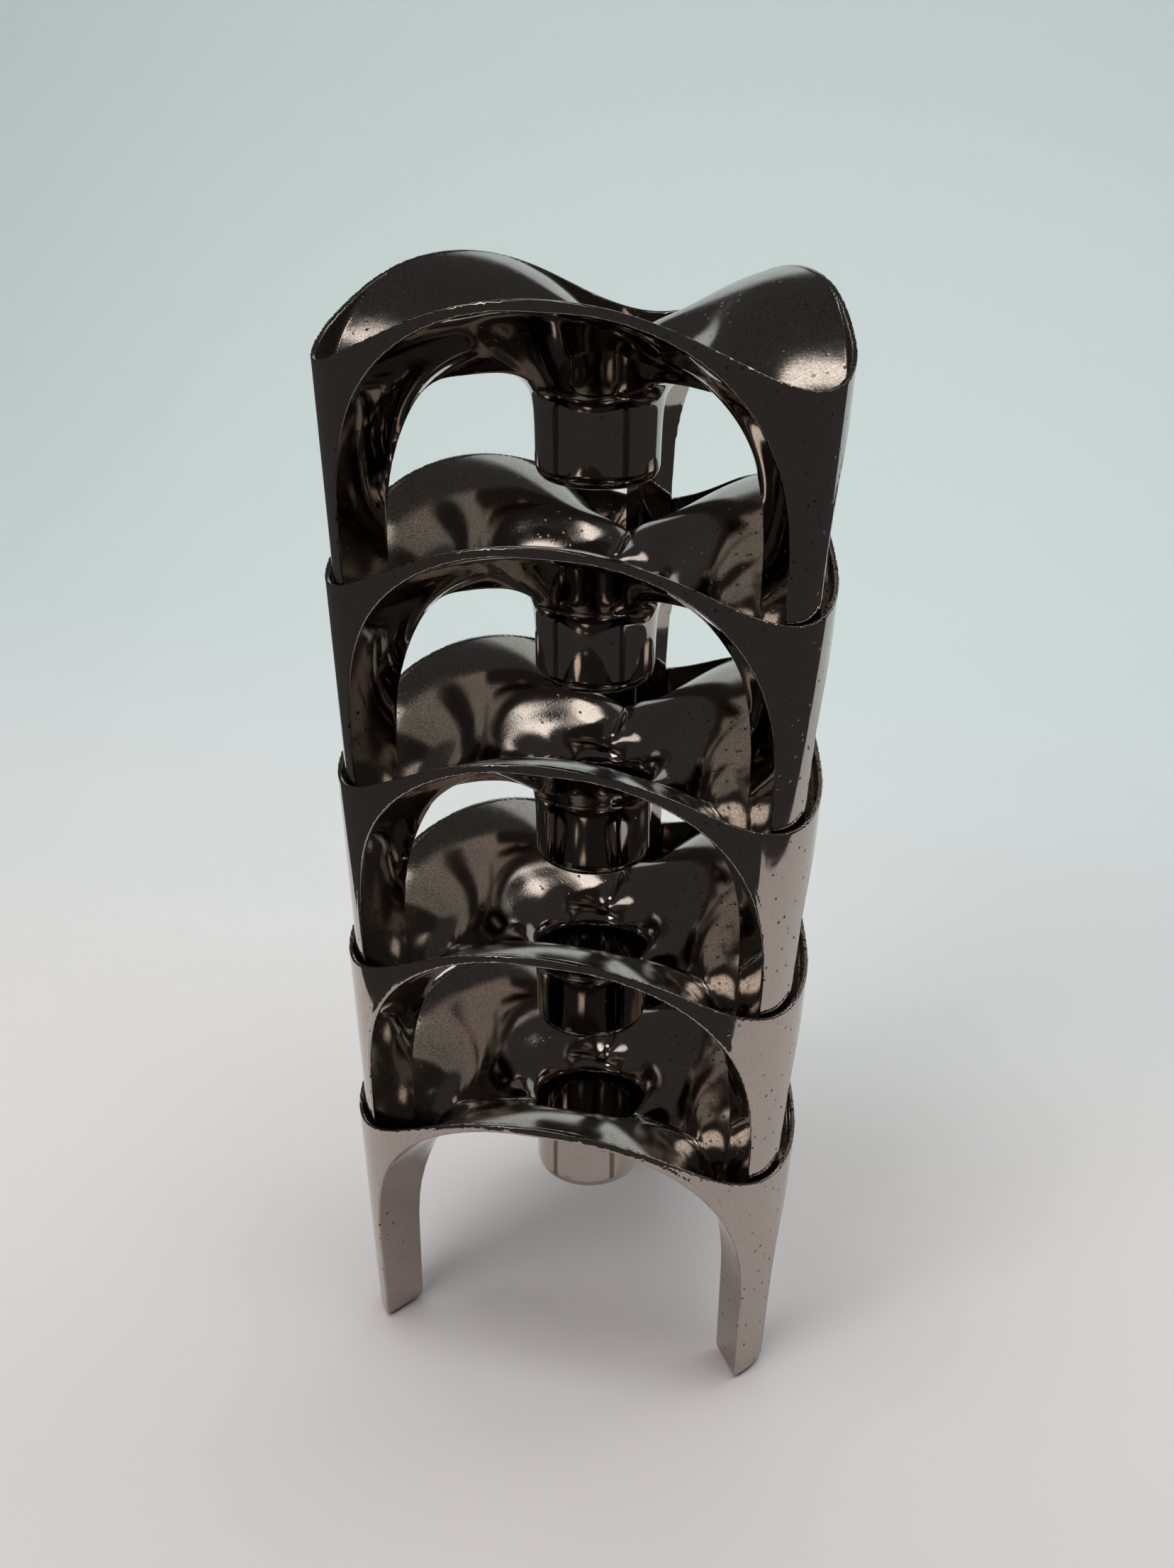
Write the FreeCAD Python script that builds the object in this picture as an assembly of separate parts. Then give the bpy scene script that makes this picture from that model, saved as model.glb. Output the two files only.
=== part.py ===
import FreeCAD
import Part
import math
import os

# Five identical one-piece cast modules, stacked.  Each module is a round-cornered
# triangle in plan on three tapering legs, with three arches, three vault lobes on
# top, one candle cup in the middle and one pocket behind the wall at each corner.
# A module's feet stand in the corner pockets of the module below.
# Units mm, +Z up, feet on z = 0, the candle cups are on the Z axis.

V = FreeCAD.Vector

# ---- stack
MODULES = 5
PITCH = 40.8            # height gained per module

# ---- one module, outside
CROWN_Z = 70.0          # top of the wall over the arches
CORNER_Z = 56.1         # top of the wall at the corners
WALL = 1.0              # thickness of the outer wall
TOP_CORNER_C = 30.46    # corner arc centre, distance from the axis, at z = CROWN_Z
TOP_CORNER_R = 23.34    # corner arc radius there
TOP_SIDE_D = 41.5       # middle of a side, distance from the axis
BASE_CORNER_C = 35.3    # the same three at z = 0
BASE_CORNER_R = 15.9
BASE_SIDE_D = 40.4

# ---- arches and vaults
ARCH_SPRING_Z = 22.0    # below this the arch sides are upright
LEG_Y = 20.25           # station where the arch half width is LEG_HALF
LEG_HALF = 35.2
ARCH_FLARE = 0.64       # growth of the half width per mm outward
RIDGE_R = 46.0          # radius of the vault ridge, seen from the side
RIDGE_Y = 47.9          # centre of that radius, from the axis
RIDGE_Z = 24.45
SHELL = 1.7             # vault thickness at the ridge
SHELL_SIDE = 1.25       # vault thickness at the sides
VAULT_FLAT_Z = 52.6     # lowest ridge height, next to the cup

# ---- candle cup
CUP_R = 12.1
CUP_BOTTOM_Z = 31.9
CUP_EDGE_R = 3.2
BORE_R = 11.05
BORE_FLOOR_Z = 33.4
BORE_TOP_Z = 47.0
MOUTH_R = 17.3
MOUTH_Z = 59.0
MOUTH_SLOPE = 38.0

# ---- pockets
POCKET_Z = PITCH - 0.03
POCKET_GAP = 0.22
HUB_R = 10.7

# ---- the axis sits behind the middle of the outline's box, so that the box is centred
AXIS_Y = -5.89

# arch squareness at each station, distance from the axis along the arch
SQUARE = [(5.0, 5.6), (9.0, 5.6), (13.0, 5.4), (15.5, 4.6), (18.0, 3.5), (21.0, 2.8),
          (25.0, 2.4), (30.5, 2.18), (36.0, 2.12), (42.0, 2.12), (56.0, 2.12)]


def turned(shape, angle):
    out = shape.copy()
    out.rotate(V(0, 0, 0), V(0, 0, 1), angle)
    return out


def outline(corner_c, corner_r, side_d, z):
    """Round-cornered triangle with gently bowed sides, corners at 90, 210 and 330."""
    a = corner_c * math.cos(math.radians(30))
    b = corner_c * 0.5
    off = side_d - corner_r
    yc = (a * a + b * b - off * off) / (2.0 * (off - b))
    side_r = side_d + yc
    ang = math.atan2(-b - yc, a)
    half = ang + math.pi / 2.0
    edges = []
    for k in range(3):
        rot = 2.0 * math.pi / 3.0 * k

        def at(x, y):
            return V(x * math.cos(rot) - y * math.sin(rot), x * math.sin(rot) + y * math.cos(rot), z)

        s0 = at(-side_r * math.cos(ang), yc + side_r * math.sin(ang))
        s1 = at(0.0, yc - side_r)
        s2 = at(side_r * math.cos(ang), yc + side_r * math.sin(ang))
        edges.append(Part.Arc(s0, s1, s2).toShape())
        end = ang + 2.0 * math.pi / 3.0 - 2.0 * half
        mid = 0.5 * (ang + end)
        c1 = at(a + corner_r * math.cos(mid), -b + corner_r * math.sin(mid))
        c2 = at(a + corner_r * math.cos(end), -b + corner_r * math.sin(end))
        edges.append(Part.Arc(s2, c1, c2).toShape())
    return Part.Wire(edges)


def column(inset, z_low, z_high):
    """The tapering outer body, moved in by inset, between two heights."""
    wires = []
    for z in (z_low, z_high):
        w = z / CROWN_Z
        c = BASE_CORNER_C + (TOP_CORNER_C - BASE_CORNER_C) * w
        r = BASE_CORNER_R + (TOP_CORNER_R - BASE_CORNER_R) * w
        d = BASE_SIDE_D + (TOP_SIDE_D - BASE_SIDE_D) * w
        wires.append(outline(c, r - inset, d - inset, z))
    return Part.makeLoft(wires, True, True)


def ridge_z(y, radius):
    """Height of the vault ridge at distance y from the axis."""
    reach = RIDGE_Y - min(y, RIDGE_Y)
    if reach >= radius:
        return 0.0
    return RIDGE_Z + math.sqrt(radius * radius - reach * reach)


def vault(grow_side, ridge_radius, floor_z):
    """Solid under one vault: arch sections at several stations along -Y, lofted."""
    wires = []
    for y, square in SQUARE:
        a = LEG_HALF + ARCH_FLARE * (y - LEG_Y) + grow_side
        rise = ridge_z(y, ridge_radius) - floor_z
        top = floor_z + 0.5 * (rise + math.sqrt(rise * rise + 4.0))
        pts = []
        count = 24
        for i in range(count + 1):
            t = math.pi * i / count
            cx = math.cos(t)
            sx = math.sin(t)
            x = a * math.copysign(abs(cx) ** (2.0 / square), cx)
            z = ARCH_SPRING_Z + (top - ARCH_SPRING_Z) * abs(sx) ** (2.0 / square)
            pts.append(V(x, -y, z))
        curve = Part.BSplineCurve()
        curve.interpolate(pts, InitialTangent=V(0, 0, 1), FinalTangent=V(0, 0, -1))
        low_r = V(a, -y, -6.0)
        low_l = V(-a, -y, -6.0)
        edges = [curve.toShape(), Part.makeLine(pts[-1], low_l)]
        edges.append(Part.makeLine(low_l, low_r))
        edges.append(Part.makeLine(low_r, pts[0]))
        wires.append(Part.Wire(edges))
    return Part.makeLoft(wires, True, False)


def rim_height(psi):
    """Height of the wall at angle psi from the middle of a side."""
    second = -1.32
    third = 0.2
    mean = 0.5 * (CROWN_Z + CORNER_Z) - second
    first = 0.5 * (CROWN_Z - CORNER_Z) - third
    return mean + first * math.cos(3 * psi) + second * math.cos(6 * psi) + third * math.cos(9 * psi)


def outline_radius(psi):
    """Distance of the outline from the axis at angle psi from the middle of a side, z = 63."""
    w = 0.9
    c = BASE_CORNER_C + (TOP_CORNER_C - BASE_CORNER_C) * w
    r = BASE_CORNER_R + (TOP_CORNER_R - BASE_CORNER_R) * w
    d = BASE_SIDE_D + (TOP_SIDE_D - BASE_SIDE_D) * w
    a = c * math.cos(math.radians(30))
    b = c * 0.5
    off = d - r
    yc = (a * a + b * b - off * off) / (2.0 * (off - b))
    side_r = d + yc
    swing = math.atan2(a, b + yc)
    tangent = math.atan2(side_r * math.sin(swing), side_r * math.cos(swing) - yc)
    if psi < tangent:
        return -yc * math.cos(psi) + math.sqrt(side_r ** 2 - (yc * math.sin(psi)) ** 2)
    phi = math.pi / 3.0 - psi
    return c * math.cos(phi) + math.sqrt(r * r - (c * math.sin(phi)) ** 2)


def rim_scoop():
    """Everything above the wall top around the corner at 330 degrees, seen along that corner."""
    pts = []
    for i in range(-8, 9):
        phi = math.radians(60.0 * i / 8.0)
        psi = math.pi / 3.0 - abs(phi)
        pts.append(V(0.0, outline_radius(psi) * math.sin(phi), rim_height(psi)))
    curve = Part.BSplineCurve()
    curve.interpolate(pts)
    p0 = pts[0]
    p1 = pts[-1]
    e0 = V(0.0, p0.y - 3.0, p0.z)
    e1 = V(0.0, p1.y + 3.0, p1.z)
    q0 = V(0.0, e0.y, 90.0)
    q1 = V(0.0, e1.y, 90.0)
    edges = [curve.toShape(), Part.makeLine(p1, e1), Part.makeLine(e1, q1)]
    edges += [Part.makeLine(q1, q0), Part.makeLine(q0, e0), Part.makeLine(e0, p0)]
    solid = Part.Face(Part.Wire(edges)).extrude(V(70, 0, 0))
    return turned(solid, -30)


def spin(points_and_curves):
    face = Part.Face(Part.Wire(points_and_curves))
    return face.revolve(V(0, 0, 0), V(0, 0, 1), 360)


def line(a, b):
    return Part.makeLine(V(a[0], 0, a[1]), V(b[0], 0, b[1]))


def spline(points, t0, t1):
    curve = Part.BSplineCurve()
    curve.interpolate([V(p[0], 0, p[1]) for p in points], InitialTangent=V(t0[0], 0, t0[1]),
                      FinalTangent=V(t1[0], 0, t1[1]))
    return curve.toShape()


def cup_outside():
    """Cup below, flaring out under the vaults; clipped to the vaults afterwards."""
    r0 = CUP_R
    zb = CUP_BOTTOM_Z
    k = CUP_EDGE_R
    arc_mid = V(r0 - k + k * math.sin(math.radians(45)), 0, zb + k - k * math.cos(math.radians(45)))
    edge = Part.Arc(V(r0 - k, 0, zb), arc_mid, V(r0, 0, zb + k)).toShape()
    flare = spline([(r0, 43.5), (12.5, 46.6), (14.0, 49.4), (17.0, 52.3), (21.0, 55.3), (26.0, 58.6)],
                   (0, 1), (0.82, 0.57))
    return spin([line((0, zb), (r0 - k, zb)), edge, line((r0, zb + k), (r0, 43.5)), flare,
                 line((26.0, 58.6), (26.0, 80)), line((26.0, 80), (0, 80)), line((0, 80), (0, zb))])


def mouth():
    """The candle bore with its rolled-over mouth."""
    s0 = math.sin(math.radians(MOUTH_SLOPE))
    c0 = math.cos(math.radians(MOUTH_SLOPE))
    rad = (MOUTH_R - BORE_R) / (1.0 - s0)
    pts = []
    for i in range(9):
        al = math.radians(90.0 + (MOUTH_SLOPE - 90.0) * i / 8.0)
        pts.append((MOUTH_R - rad * (math.sin(al) - s0), MOUTH_Z - rad * (c0 - math.cos(al))))
    roll = spline(pts, (0, 1), (c0, s0))
    z1 = pts[0][1]
    f = BORE_FLOOR_Z
    return spin([line((0, f), (BORE_R, f)), line((BORE_R, f), (BORE_R, z1)), roll,
                 line((MOUTH_R, MOUTH_Z), (20.5, 64.5)), line((20.5, 64.5), (20.5, 90)),
                 line((20.5, 90), (0, 90)), line((0, 90), (0, f))])


def foot_room():
    """Room for the three feet of the module above, already lifted by one pitch."""
    low = column(-POCKET_GAP, 0.0, 17.0)
    under = vault(-POCKET_GAP, RIDGE_R - SHELL, VAULT_FLAT_Z)
    hub = Part.makeCylinder(HUB_R, 60, V(0, 0, -8))
    low = low.cut([under, turned(under, 120), turned(under, 240), hub])
    low.translate(V(0, 0, POCKET_Z))
    return low


def build_module():
    outer = column(0.0, 0.0, 72.0)
    ring = outer.cut(column(WALL, -2.0, 95.0))
    scoop = rim_scoop()
    ring = ring.cut([scoop, turned(scoop, 120), turned(scoop, 240)])
    over = vault(SHELL_SIDE, RIDGE_R, VAULT_FLAT_Z + SHELL)
    overs = over.fuse([turned(over, 120), turned(over, 240)])
    lobes = overs.common(column(WALL - 0.3, 0.0, 71.0))
    legs = column(WALL - 0.3, 0.0, POCKET_Z)
    body = lobes.fuse([legs, ring])
    under = vault(0.0, RIDGE_R - SHELL, VAULT_FLAT_Z)
    hub = Part.makeCylinder(HUB_R, 60, V(0, 0, -8))
    body = body.cut([under, turned(under, 120), turned(under, 240), hub])
    cup = cup_outside()
    flare = cup.common(overs)
    core = cup.common(Part.makeCylinder(HUB_R + 0.1, 50))
    body = body.fuse([flare, core])
    body = body.cut(mouth())
    body = body.cut(foot_room())
    return body


os.makedirs("parts", exist_ok=True)
module = build_module()
for number in range(MODULES):
    piece = module.copy()
    piece.translate(V(0, AXIS_Y, PITCH * number))
    piece.exportStep("parts/module_%d.step" % (number + 1))
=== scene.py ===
import bpy
import numpy as np
from mathutils import Matrix, Vector


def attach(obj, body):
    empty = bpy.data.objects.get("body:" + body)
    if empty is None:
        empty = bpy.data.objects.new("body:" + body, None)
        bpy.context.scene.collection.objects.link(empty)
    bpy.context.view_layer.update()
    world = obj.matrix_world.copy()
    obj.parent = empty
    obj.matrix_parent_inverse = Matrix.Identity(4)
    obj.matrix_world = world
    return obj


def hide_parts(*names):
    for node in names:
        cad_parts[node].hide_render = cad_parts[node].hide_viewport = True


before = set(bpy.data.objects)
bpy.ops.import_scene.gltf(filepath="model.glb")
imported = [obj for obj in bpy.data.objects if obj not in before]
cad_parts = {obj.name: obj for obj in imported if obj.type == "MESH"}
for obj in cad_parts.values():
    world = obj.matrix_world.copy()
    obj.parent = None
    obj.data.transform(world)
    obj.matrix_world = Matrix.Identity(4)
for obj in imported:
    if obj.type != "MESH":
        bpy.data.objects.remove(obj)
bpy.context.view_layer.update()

# One casting is a level set, worked out in millimetres with its feet on z = 0 and its cup
# on the axis, so that every crease has the small cast radius that plating keeps.
PITCH = 40.8      # rise of each module above the one below
CROWN_Z = 70.0    # height at which the outline is given
AXIS_Y = -5.89    # the cups' axis in the frame
MODULES = 5
GRID = 0.5        # cell of the level set's grid
KEEP = 0.36       # share of the triangles that stay after thinning
MM = 0.001

HALF_LEG_GAP = 35.2     # half the gap between two legs, at GAP_AT from the axis
GAP_AT = 20.25
GAP_FLARE = 0.64        # the gap widens by this much per millimetre outwards
VAULT_FOOT = 22.0       # height at which a vault springs
BORE = 11.05            # radius of the cup's bore
MOUTH_ARC = 16.26       # roll-over of the bore's mouth, in section
MOUTH_ARC_AT = (27.31, 46.19)
CUP_FLOOR = 31.9        # outside of the cup's bottom
FOOT_GAP = 0.22         # play round the foot of the module above


def smin(a, b, k):
    h = np.maximum(k - np.abs(a - b), 0.0) / k
    return np.minimum(a, b) - h * h * h * k / 6.0


def smax(a, b, k):
    return -smin(-a, -b, k)


def outline(x, y, z):
    """Distance outside the round-cornered triangle at that height, angle from a side's middle, radius.

    c is the distance from the axis to a corner's centre, r the corner's radius, and d the distance
    from the axis to a side; t is how far back the side's own centre lies.
    """
    w = z / CROWN_Z
    c = 35.3 - 4.84 * w
    r = 15.9 + 7.44 * w
    d = 40.4 + 1.1 * w
    rho = np.hypot(x, y)
    psi = np.mod(np.arctan2(y, x) + np.radians(150.0), np.radians(120.0)) - np.radians(60.0)
    u = rho * np.cos(psi)
    v = rho * np.abs(np.sin(psi))
    t = (c * c - (d - r) ** 2) / (2.0 * (d - r) - c)
    hx = 0.5 * c
    hy = 0.8660254 * c
    side = np.hypot(u + t, v) - (d + t)
    corner = np.hypot(u - hx, v - hy) - r
    return np.where((hx + t) * v - hy * (u + t) < 0.0, side, corner), psi, rho


def lobe(x, y, z, grow, radius, floor, soft):
    """Distance outside one vault that runs out along -Y; soft rounds its shoulders near the cup.

    Its section is a superellipse of power n, a wide and h high; its crest is an arc of that radius
    that doesn't sink below floor.
    """
    s = np.maximum(-y, 2.0)
    t = np.clip((s - 7.0) / 9.0, 0.0, 1.0)
    n = 2.12 + (3.5 - soft * (1.0 - t * t * (3.0 - 2.0 * t))) / (1.0 + (s / 17.0) ** 7.5)
    a = HALF_LEG_GAP + GAP_FLARE * (s - GAP_AT) + grow
    reach = 47.9 - np.minimum(s, 47.9)
    across = np.sqrt(np.maximum(radius * radius - reach * reach, 1.0))
    rise = 24.45 + across - floor
    top = floor + 0.5 * (rise + np.sqrt(rise * rise + 4.0))
    h = top - VAULT_FOOT
    p = np.abs(x) / a
    q = np.maximum(z - VAULT_FOOT, 0.0) / h
    f = (p ** n + q ** n + 1e-12) ** (1.0 / n)
    gp = (p / f) ** (n - 1.0)
    gq = (q / f) ** (n - 1.0)
    slope = 0.5 * (1.0 + rise / np.sqrt(rise * rise + 4.0)) * reach / across
    gy = GAP_FLARE * gp * p / a + slope * gq * q / h
    dist = (f - 1.0) / np.sqrt((gp / a) ** 2 + (gq / h) ** 2 + gy ** 2 + 1e-9)
    return smax(dist, y + 1.0, 2.0)


def leg_gap(x, y):
    """Distance outside the flat-sided gap between two legs."""
    flank = np.abs(x) - HALF_LEG_GAP - GAP_FLARE * (np.maximum(-y, 2.0) - GAP_AT)
    return smax(flank / 1.187, y + 1.0, 2.0)


def three(fn, x, y, blend):
    """Smooth union of fn turned to the three sides."""
    out = fn(x, y)
    for turn in (120.0, 240.0):
        ca = np.cos(np.radians(turn))
        sa = np.sin(np.radians(turn))
        out = smin(out, fn(x * ca + y * sa, y * ca - x * sa), blend)
    return out


def module(x, y, z):
    """Below zero inside one casting."""
    out, psi, rho = outline(x, y, z)
    rim = 64.37 + 6.75 * np.cos(3 * psi) - 1.32 * np.cos(6 * psi) + 0.2 * np.cos(9 * psi)
    tilt = (20.25 * np.sin(3 * psi) - 7.92 * np.sin(6 * psi) + 1.8 * np.sin(9 * psi)) / np.maximum(rho, 20.0)
    rim = (z - rim) / np.sqrt(1.0 + tilt * tilt)
    over = three(lambda p, q: lobe(p, q, z, 1.25, 46.0, 54.3, 3.0), x, y, 1.3)
    under = three(lambda p, q: lobe(p, q, z, 0.0, 44.3, 52.6, 0.0), x, y, 1.2)
    ring = smax(smax(out, -(out + 1.0), 0.25), rim, 0.35)
    legs = smax(out + 0.5, z - 40.77, 0.4)
    lobes = smax(over, out + 0.05, 0.5)
    body = smin(smin(lobes, legs, 0.6), ring, 0.5)
    # the bore and its rolled-over mouth, cut while the lobes are still full
    arc_rho, arc_z = MOUTH_ARC_AT
    arc = MOUTH_ARC - np.hypot(rho - arc_rho, z - arc_z)
    mouth = np.where(z > arc_z, np.where(rho < arc_rho, arc, 62.45 - z), rho - BORE)
    cone = (rho - 17.8) * 0.8660254 - (z - 59.4) * 0.5
    mouth = smax(mouth, np.where(z > 50.0, cone, -9.0), 1.5)
    mouth = smax(mouth, 33.4 - z, 0.6)
    body = smax(body, -mouth, 8.0)
    # the room under the vaults, less the cup and its flare
    s = z - 49.7
    flare = 12.0 + 0.775 * (s + np.sqrt(s * s + 5.8))
    grad = 0.775 * (1.0 + s / np.sqrt(s * s + 5.8))
    side = (rho - flare) / np.sqrt(1.0 + grad * grad)
    low = np.hypot(np.maximum(rho - 8.9, 0.0), np.maximum(35.1 - z, 0.0)) - 3.2
    cup = np.where(z < 35.1, np.where(rho > 8.9, low, CUP_FLOOR - z), side)
    room = smin(under, np.maximum(rho - 10.7, z - 50.0), 1.0)
    room = smax(room, -cup, 2.2)
    body = smax(body, -room, 0.55)
    # the foot of the module above, with its gap
    zf = z - 40.77
    foot = outline(x, y, np.clip(zf, 0.0, 20.0))[0] - FOOT_GAP
    foot = smax(foot, -(three(leg_gap, x, y, 1.0) + FOOT_GAP), 0.4)
    foot = np.maximum(smax(foot, np.abs(zf - 8.5) - 8.5, 0.3), 10.7 - rho)
    body = smax(body, -foot, 0.3)
    return smax(body, -z, 2.4)


def gradient(p, h=0.02):
    """Gradient of module() at points, by central differences over h."""
    g = np.empty_like(p)
    for axis in range(3):
        q = p.copy()
        q[:, axis] += h
        high = module(q[:, 0], q[:, 1], q[:, 2])
        q[:, axis] -= 2.0 * h
        g[:, axis] = (high - module(q[:, 0], q[:, 1], q[:, 2])) / (2.0 * h)
    return g


def project(p, rounds):
    """Moves points onto the surface."""
    for _ in range(rounds):
        f = module(p[:, 0], p[:, 1], p[:, 2])
        g = gradient(p)
        p = p - g * np.clip(f / np.maximum((g * g).sum(1), 0.2), -0.3, 0.3)[:, None]
    return p


def nets(step):
    """Surface nets of module() on a regular grid: vertices and quads."""
    xs = np.arange(-50.2, 50.3, step)
    ys = np.arange(-43.4, 55.0, step)
    zs = np.arange(-1.1, 71.2, step)
    gx, gy = np.meshgrid(xs, ys, indexing="ij")
    f = np.empty((len(xs), len(ys), len(zs)), np.float32)
    for k, z in enumerate(zs):
        f[:, :, k] = module(gx, gy, np.full_like(gx, z))
    inside = f < 0.0
    cells = tuple(n - 1 for n in f.shape)
    acc = np.zeros(cells + (3,), np.float32)
    count = np.zeros(cells, np.int16)
    for axis in range(3):
        lo = [slice(None)] * 3
        hi = [slice(None)] * 3
        lo[axis] = slice(0, -1)
        hi[axis] = slice(1, None)
        a = f[tuple(lo)]
        b = f[tuple(hi)]
        cross = (a < 0) != (b < 0)
        t = np.where(cross, a / np.where(cross, a - b, 1.0), 0.0)
        o1, o2 = [k for k in range(3) if k != axis]
        for d1 in (0, 1):
            for d2 in (0, 1):
                part = [slice(None)] * 3
                part[o1] = slice(d1, f.shape[o1] - 1 + d1)
                part[o2] = slice(d2, f.shape[o2] - 1 + d2)
                c = cross[tuple(part)]
                count += c
                acc[..., axis] += t[tuple(part)]
                acc[..., o1] += c * float(d1)
                acc[..., o2] += c * float(d2)
    active = count > 0
    index = np.full(cells, -1, np.int64)
    index[active] = np.arange(active.sum())
    verts = (np.argwhere(active) + acc[active] / count[active][:, None]) * step
    verts = verts + np.array([xs[0], ys[0], zs[0]])
    quads = []
    for axis in range(3):
        o1, o2 = (axis + 1) % 3, (axis + 2) % 3
        lo = [slice(1, -1)] * 3
        hi = [slice(1, -1)] * 3
        lo[axis] = slice(0, -1)
        hi[axis] = slice(1, None)
        a = inside[tuple(lo)]
        edge = np.argwhere(a != inside[tuple(hi)])
        outward = a[tuple(edge.T)]
        base = edge.copy()
        base[:, o1] += 1
        base[:, o2] += 1
        ring = []
        for d1, d2 in ((0, 0), (1, 0), (1, 1), (0, 1)):
            q = base.copy()
            q[:, o1] -= d1
            q[:, o2] -= d2
            ring.append(index[tuple(q.T)])
        quad = np.stack(ring, 1)
        quad[~outward] = quad[~outward][:, ::-1]
        quads.append(quad)
    return verts.astype(float), np.concatenate(quads)


def casting():
    """One module's mesh, in metres: nets, thinned out, back on the surface, with its true normals."""
    verts, quads = nets(GRID)
    verts = project(verts, 3)
    mesh = bpy.data.meshes.new("casting")
    mesh.from_pydata(verts.tolist(), [], quads.tolist())
    holder = bpy.data.objects.new("casting", mesh)
    bpy.context.scene.collection.objects.link(holder)
    thin = holder.modifiers.new("thin", "DECIMATE")
    thin.ratio = KEEP
    bpy.context.view_layer.update()
    done = bpy.data.meshes.new_from_object(holder.evaluated_get(bpy.context.evaluated_depsgraph_get()))
    bpy.data.objects.remove(holder)
    co = np.empty(len(done.vertices) * 3)
    done.vertices.foreach_get("co", co)
    co = project(co.reshape(-1, 3), 3)
    normal = gradient(co, 0.01)
    normal /= np.linalg.norm(normal, axis=1)[:, None]
    done.vertices.foreach_set("co", (co * MM).ravel())
    done.update()
    done.polygons.foreach_set("use_smooth", np.ones(len(done.polygons), bool))
    done.normals_split_custom_set_from_vertices(normal.tolist())
    return done


def node(tree, kind, **values):
    """A new node with those attributes."""
    n = tree.nodes.new(kind)
    for key, value in values.items():
        setattr(n, key, value)
    return n


def noise(tree, coord, scale, detail, rough, distortion=0.0):
    n = node(tree, "ShaderNodeTexNoise")
    n.inputs["Scale"].default_value = scale
    n.inputs["Detail"].default_value = detail
    n.inputs["Roughness"].default_value = rough
    n.inputs["Distortion"].default_value = distortion
    tree.links.new(coord, n.inputs["Vector"])
    return n.outputs["Fac"]


def remap(tree, value, low, high, out_low, out_high):
    n = node(tree, "ShaderNodeMapRange", clamp=True)
    for i, v in enumerate((low, high, out_low, out_high)):
        n.inputs[i + 1].default_value = v
    tree.links.new(value, n.inputs[0])
    return n.outputs[0]


def calc(tree, op, a, b):
    n = node(tree, "ShaderNodeMath", operation=op)
    for i, v in enumerate((a, b)):
        if isinstance(v, (int, float)):
            n.inputs[i].default_value = v
        else:
            tree.links.new(v, n.inputs[i])
    return n.outputs[0]


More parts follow.
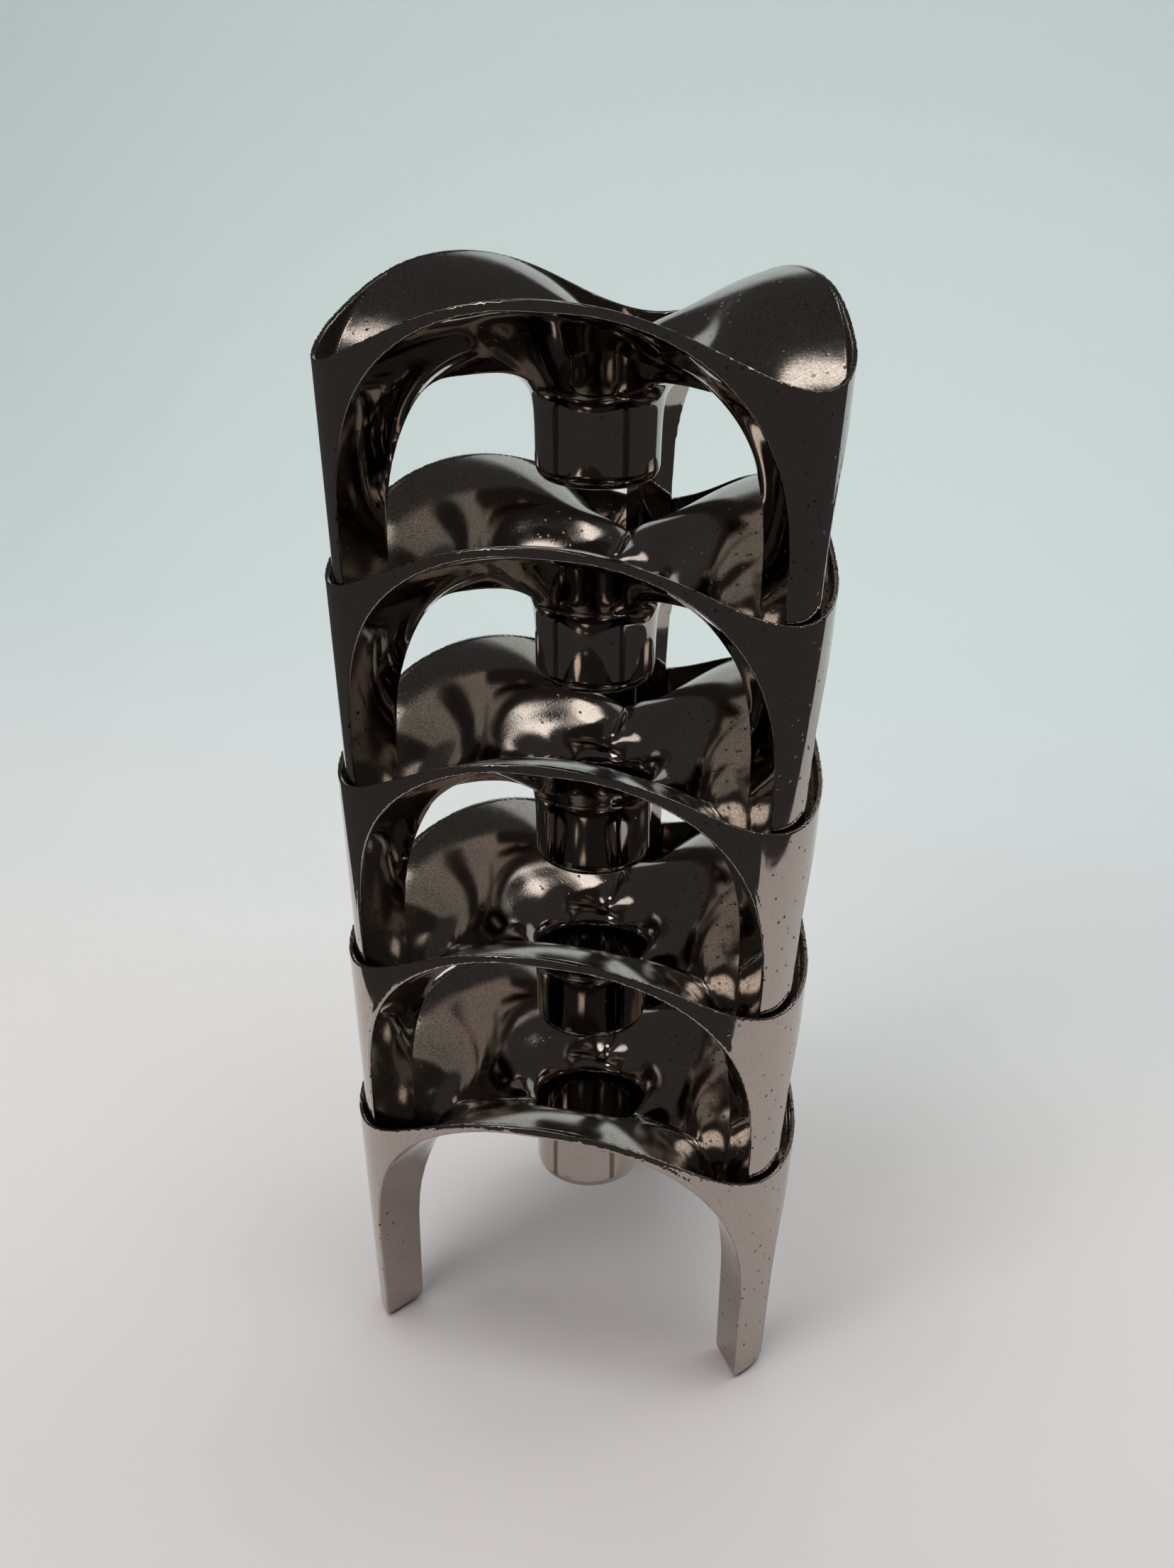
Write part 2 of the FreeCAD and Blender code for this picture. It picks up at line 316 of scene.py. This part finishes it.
def plating():
    """Smoky bright plating: mirror on the walls, a little satin on the upward faces, with pits and stains."""
    mat = bpy.data.materials.new("plated_metal")
    mat.use_nodes = True
    tree = mat.node_tree
    tree.nodes.clear()
    out = node(tree, "ShaderNodeOutputMaterial")
    bsdf = node(tree, "ShaderNodeBsdfPrincipled")
    bsdf.inputs["Metallic"].default_value = 1.0
    tree.links.new(bsdf.outputs[0], out.inputs[0])
    geometry = node(tree, "ShaderNodeNewGeometry")
    coord = node(tree, "ShaderNodeTexCoord").outputs["Object"]
    normal = node(tree, "ShaderNodeSeparateXYZ")
    tree.links.new(geometry.outputs["Normal"], normal.inputs[0])
    up = remap(tree, normal.outputs[2], 0.25, 0.75, 0.0, 1.0)
    grain = noise(tree, coord, 2300.0, 3.0, 0.7)
    cloud = noise(tree, coord, 55.0, 5.0, 0.6, 0.4)
    wear = noise(tree, coord, 210.0, 6.0, 0.65)
    reach = node(tree, "ShaderNodeVectorMath", operation="LENGTH")
    flat = node(tree, "ShaderNodeVectorMath", operation="MULTIPLY")
    flat.inputs[1].default_value = (1.0, 1.0, 0.0)
    tree.links.new(coord, flat.inputs[0])
    tree.links.new(flat.outputs[0], reach.inputs[0])
    outer = calc(tree, "MULTIPLY", up, remap(tree, reach.outputs["Value"], 0.018, 0.038, 0.12, 1.0))
    satin = calc(tree, "MULTIPLY", outer, remap(tree, cloud, 0.3, 0.7, 0.06, 0.17))
    base = remap(tree, wear, 0.45, 0.75, 0.035, 0.1)
    rough = calc(tree, "ADD", base, satin)
    pits = node(tree, "ShaderNodeTexVoronoi", feature="F1")
    pits.inputs["Scale"].default_value = 420.0
    tree.links.new(coord, pits.inputs["Vector"])
    where = remap(tree, noise(tree, coord, 38.0, 3.0, 0.5), 0.44, 0.6, 0.0, 1.0)
    pit = calc(tree, "MULTIPLY", remap(tree, pits.outputs["Distance"], 0.1, 0.17, 1.0, 0.0), where)
    blot = remap(tree, noise(tree, coord, 90.0, 6.0, 0.7, 0.8), 0.6, 0.72, 0.0, 0.5)
    stain = calc(tree, "MULTIPLY", blot, where)
    dirt = calc(tree, "MAXIMUM", pit, stain)
    tree.links.new(calc(tree, "ADD", rough, calc(tree, "MULTIPLY", dirt, 0.3)), bsdf.inputs["Roughness"])
    tint = node(tree, "ShaderNodeMix", data_type="RGBA")
    tint.inputs[6].default_value = (0.445, 0.385, 0.34, 1.0)
    tint.inputs[7].default_value = (0.37, 0.325, 0.29, 1.0)
    tree.links.new(cloud, tint.inputs[0])
    speckle = node(tree, "ShaderNodeMix", data_type="RGBA", blend_type="MULTIPLY")
    tree.links.new(remap(tree, outer, 0.0, 1.0, 0.25, 0.9), speckle.inputs[0])
    tree.links.new(tint.outputs[2], speckle.inputs[6])
    tree.links.new(remap(tree, grain, 0.3, 0.72, 0.45, 1.5), speckle.inputs[7])
    marked = node(tree, "ShaderNodeMix", data_type="RGBA")
    marked.inputs[7].default_value = (0.07, 0.055, 0.045, 1.0)
    tree.links.new(dirt, marked.inputs[0])
    tree.links.new(speckle.outputs[2], marked.inputs[6])
    tree.links.new(marked.outputs[2], bsdf.inputs["Base Color"])
    height = calc(tree, "SUBTRACT", calc(tree, "MULTIPLY", grain, calc(tree, "MULTIPLY", up, 0.4)), pit)
    bump = node(tree, "ShaderNodeBump")
    bump.inputs["Strength"].default_value = 0.16
    bump.inputs["Distance"].default_value = 0.0002
    tree.links.new(height, bump.inputs["Height"])
    wave = node(tree, "ShaderNodeBump")
    wave.inputs["Strength"].default_value = 1.0
    wave.inputs["Distance"].default_value = 0.00006
    tree.links.new(noise(tree, coord, 75.0, 2.0, 0.5), wave.inputs["Height"])
    tree.links.new(wave.outputs[0], bump.inputs["Normal"])
    tree.links.new(bump.outputs[0], bsdf.inputs["Normal"])
    return mat


metal = plating()
mesh = casting()
mesh.materials.clear()
mesh.materials.append(metal)
for number in range(MODULES):
    name = "module_%d" % (number + 1)
    piece = bpy.data.objects.new("casting_%d" % (number + 1), mesh)
    piece.location = (0.0, AXIS_Y * MM, number * PITCH * MM)
    bpy.context.scene.collection.objects.link(piece)
    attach(piece, name)
    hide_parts(name)


# ---- floor and backdrop: one pale paper. The camera sees a wide sheet; the metal mirrors a smaller
# one of the same paper, as it would a sheet that ends just outside the view.
def link(name, m):
    o = bpy.data.objects.new(name, m)
    bpy.context.scene.collection.objects.link(o)
    return o


def paper():
    """Matt pale paper, a little warmer in front and cooler behind."""
    mat = bpy.data.materials.new("paper")
    mat.use_nodes = True
    tree = mat.node_tree
    bsdf = tree.nodes["Principled BSDF"]
    bsdf.inputs["Roughness"].default_value = 0.8
    bsdf.inputs["Specular IOR Level"].default_value = 0.2
    place = node(tree, "ShaderNodeNewGeometry").outputs["Position"]
    split = node(tree, "ShaderNodeSeparateXYZ")
    tree.links.new(place, split.inputs[0])
    ramp = node(tree, "ShaderNodeValToRGB")
    ramp.color_ramp.elements[0].color = (0.80, 0.745, 0.755, 1.0)
    ramp.color_ramp.elements[1].color = (0.70, 0.775, 0.77, 1.0)
    tree.links.new(remap(tree, split.outputs[1], 0.0, 0.5, 0.0, 1.0), ramp.inputs[0])
    tree.links.new(ramp.outputs[0], bsdf.inputs["Base Color"])
    return mat


def sweep(name, front, left, right, half_back, lift, top):
    """A sheet from y = front to the back, turned up behind to top. Its half width goes from left and
    right in front to half_back behind. lift keeps it clear of the other sheet."""
    bend_y = 0.40
    bend_r = 0.30
    back_y = 0.70
    rows = [(y, 0.0) for y in np.linspace(front, bend_y, 7)]
    for i in range(1, 13):
        a = np.radians(90.0 * i / 12.0)
        rows.append((bend_y + bend_r * np.sin(a), bend_r - bend_r * np.cos(a)))
    rows.append((back_y, top))
    verts = []
    for y, z in rows:
        back = (y - front) / (back_y - front)
        for t in np.linspace(-1.0, 1.0, 9):
            edge = left if t < 0.0 else right
            x = (edge + (half_back - edge) * back) * t
            verts.append((float(x), float(y - 8.0 * lift), float(z + lift)))
    faces = []
    for j in range(len(rows) - 1):
        for i in range(8):
            k = j * 9 + i
            faces.append((k, k + 1, k + 10, k + 9))
    m = bpy.data.meshes.new(name)
    m.from_pydata(verts, [], faces)
    m.polygons.foreach_set("use_smooth", np.ones(len(faces), bool))
    return link(name, m)


sheet = paper()
seen = sweep("sweep", -1.2, 1.6, 1.6, 1.6, -0.0002, 1.4)
seen.data.materials.append(sheet)
seen.visible_glossy = False
mirrored = sweep("sweep_in_reflections", -0.12, 0.14, 0.25, 0.44, 0.0, 0.50)
mirrored.data.materials.append(sheet)
mirrored.visible_camera = False
mirrored.visible_diffuse = False
mirrored.visible_shadow = False


def panel(name, place, aim, size, power, colour, in_reflections=True):
    """A soft rectangular light."""
    data = bpy.data.lights.new(name, "AREA")
    data.shape = "RECTANGLE"
    data.size, data.size_y = size
    data.energy = power
    data.color = colour
    o = bpy.data.objects.new(name, data)
    o.location = place
    o.rotation_euler = (Vector(aim) - Vector(place)).to_track_quat("-Z", "Y").to_euler()
    o.visible_glossy = in_reflections
    bpy.context.scene.collection.objects.link(o)


panel("overhead", (0.0, 0.02, 1.25), (0.0, 0.0, 0.0), (1.3, 1.0), 6.9, (0.97, 1.0, 0.99), False)
panel("backdrop_fill", (0.0, -0.1, 1.2), (0.0, 0.7, 0.9), (1.0, 0.5), 4.5, (0.95, 1.0, 1.0), False)
panel("front_fill", (-0.5, -0.9, 0.9), (0.0, 0.0, 0.1), (0.7, 0.7), 4.0, (1.0, 0.97, 0.94), False)
panel("front_softbox", (-0.42, -0.55, 0.62), (0.0, 0.0, 0.2), (0.22, 0.30), 0.6, (1.0, 0.98, 0.95))
panel("high_softbox", (-0.20, -0.30, 1.24), (0.0, 0.0, 0.2), (0.40, 0.24), 0.6, (1.0, 0.98, 0.95))
panel("right_softbox", (0.75, 0.53, 1.12), (0.0, 0.0, 0.2), (0.52, 0.40), 1.35, (1.0, 0.98, 0.95))
panel("left_softbox", (-0.75, 0.53, 1.10), (0.0, 0.0, 0.2), (0.30, 0.30), 0.40, (1.0, 0.98, 0.95))


def surroundings():
    """A plain world: dim neutral grey, and pale where the camera looks past the floor."""
    world = bpy.data.worlds.new("surroundings")
    world.use_nodes = True
    tree = world.node_tree
    tree.nodes.clear()
    dim = node(tree, "ShaderNodeBackground")
    dim.inputs[0].default_value = (0.05, 0.05, 0.05, 1.0)
    pale = node(tree, "ShaderNodeBackground")
    pale.inputs[0].default_value = (0.62, 0.66, 0.65, 1.0)
    both = node(tree, "ShaderNodeMixShader")
    tree.links.new(node(tree, "ShaderNodeLightPath").outputs["Is Camera Ray"], both.inputs[0])
    tree.links.new(dim.outputs[0], both.inputs[1])
    tree.links.new(pale.outputs[0], both.inputs[2])
    tree.links.new(both.outputs[0], node(tree, "ShaderNodeOutputWorld").inputs[0])
    bpy.context.scene.world = world


surroundings()

# ---- camera: heading, tilt from straight down and roll, in degrees
cam = bpy.data.cameras.new("camera")
cam.sensor_width = 36.0
cam.lens = 36.381
cam.shift_x = -0.0261
cam.shift_y = 0.0315
cam.clip_start = 0.01
eye = bpy.data.objects.new("camera", cam)
turn = Matrix.Rotation(np.radians(11.9167), 4, "Z") @ Matrix.Rotation(np.radians(63.9097), 4, "X")
turn = turn @ Matrix.Rotation(np.radians(1.3093), 4, "Z")
eye.matrix_world = Matrix.Translation((0.070436, -0.303490, 0.268410)) @ turn
bpy.context.scene.collection.objects.link(eye)
bpy.context.scene.camera = eye
bpy.context.scene.view_settings.view_transform = "Standard"
